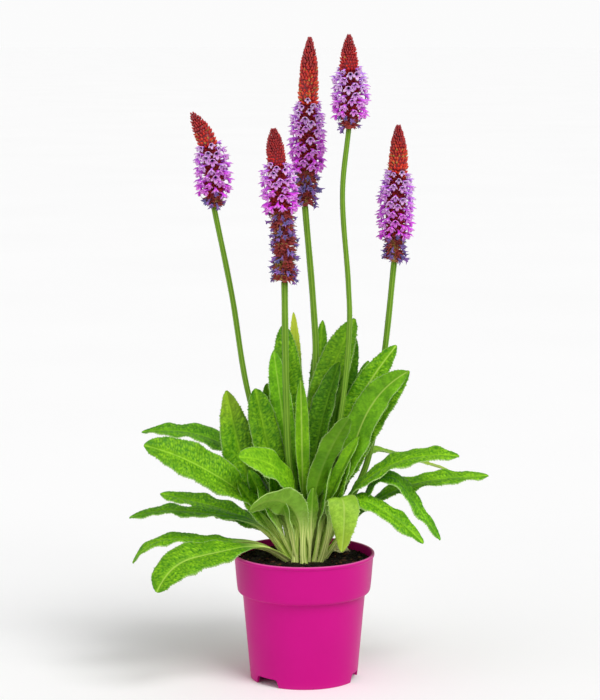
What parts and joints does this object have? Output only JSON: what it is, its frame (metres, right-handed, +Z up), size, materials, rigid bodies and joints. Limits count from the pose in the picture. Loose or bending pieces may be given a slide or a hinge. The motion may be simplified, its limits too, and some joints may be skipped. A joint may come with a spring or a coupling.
{
  "type": "potted orchid primrose",
  "caption": "Potted primrose with long crinkled leaves, upright poker-shaped flower spikes in red bud above lilac florets, and a plastic nursery pot.",
  "frame": {"origin": "centre of the pot's underside, on the surface the pot stands on", "axes": "+Z up through the pot, -Y towards the viewer of the picture, +X to the viewer's right; metres"},
  "size_m": [0.3062, 0.2229, 0.542],
  "materials": {
    "pot": "satin moulded plastic, magenta",
    "soil": "dark crumbly peat with bark crumbs",
    "crown": "short fleshy rootstock with soil on it",
    "leaf_bright": "crinkled hairy leaf, bright green, pale midrib and stalk",
    "leaf_deep": "crinkled hairy leaf, deep green, pale midrib and stalk",
    "leaf_pale": "crinkled hairy leaf, yellowish green, pale midrib and stalk",
    "withered": "dry papery leaf, cream",
    "stem": "downy flower stalk, mid green",
    "bud": "waxy pointed bud leaves, crimson to scarlet",
    "flower": "soft petals, lilac to magenta violet with a dark eye",
    "faded": "shrivelled florets, rust and slate violet"
  },
  "bodies": {
    "root": {"pot": "pot", "soil": "soil", "crown": "crown", "leaf_left_1": "leaf_deep", "leaf_left_2": "leaf_bright", "leaf_left_3": "leaf_bright", "leaf_left_4": "leaf_deep", "leaf_left_5": "leaf_deep", "leaf_left_6": "leaf_bright", "leaf_left_7": "leaf_bright", "leaf_left_8": "leaf_bright", "leaf_middle_1": "leaf_bright", "leaf_middle_2": "leaf_bright", "leaf_middle_3": "leaf_deep", "leaf_middle_4": "leaf_bright", "leaf_middle_5": "leaf_pale", "leaf_middle_6": "leaf_bright", "leaf_middle_7": "leaf_bright", "leaf_middle_8": "leaf_bright", "leaf_middle_9": "leaf_deep", "leaf_middle_10": "leaf_deep", "leaf_middle_11": "leaf_deep", "leaf_middle_12": "leaf_bright", "leaf_right_1": "leaf_bright", "leaf_right_2": "leaf_deep", "leaf_right_3": "leaf_bright", "leaf_right_4": "leaf_bright", "leaf_right_5": "leaf_bright", "leaf_right_6": "leaf_bright", "leaf_right_7": "leaf_bright", "leaf_right_8": "leaf_deep", "leaf_right_9": "leaf_bright", "leaf_right_10": "leaf_pale", "leaf_front_1": "leaf_bright", "leaf_front_2": "leaf_pale", "leaf_front_3": "leaf_pale", "leaf_back_1": "leaf_bright", "leaf_back_2": "leaf_deep", "leaf_back_3": "leaf_bright", "withered_leaf": "withered", "stem_1": "stem", "spike_1_faded": "faded", "spike_1_flowers": "flower", "spike_1_buds": "bud", "stem_2": "stem", "spike_2_faded": "faded", "spike_2_flowers": "flower", "spike_2_buds": "bud", "stem_3": "stem", "spike_3_faded": "faded", "spike_3_flowers": "flower", "spike_3_buds": "bud", "stem_4": "stem", "spike_4_faded": "faded", "spike_4_flowers": "flower", "spike_4_buds": "bud", "stem_5": "stem", "spike_5_faded": "faded", "spike_5_flowers": "flower", "spike_5_buds": "bud"}
  },
  "joints": []
}
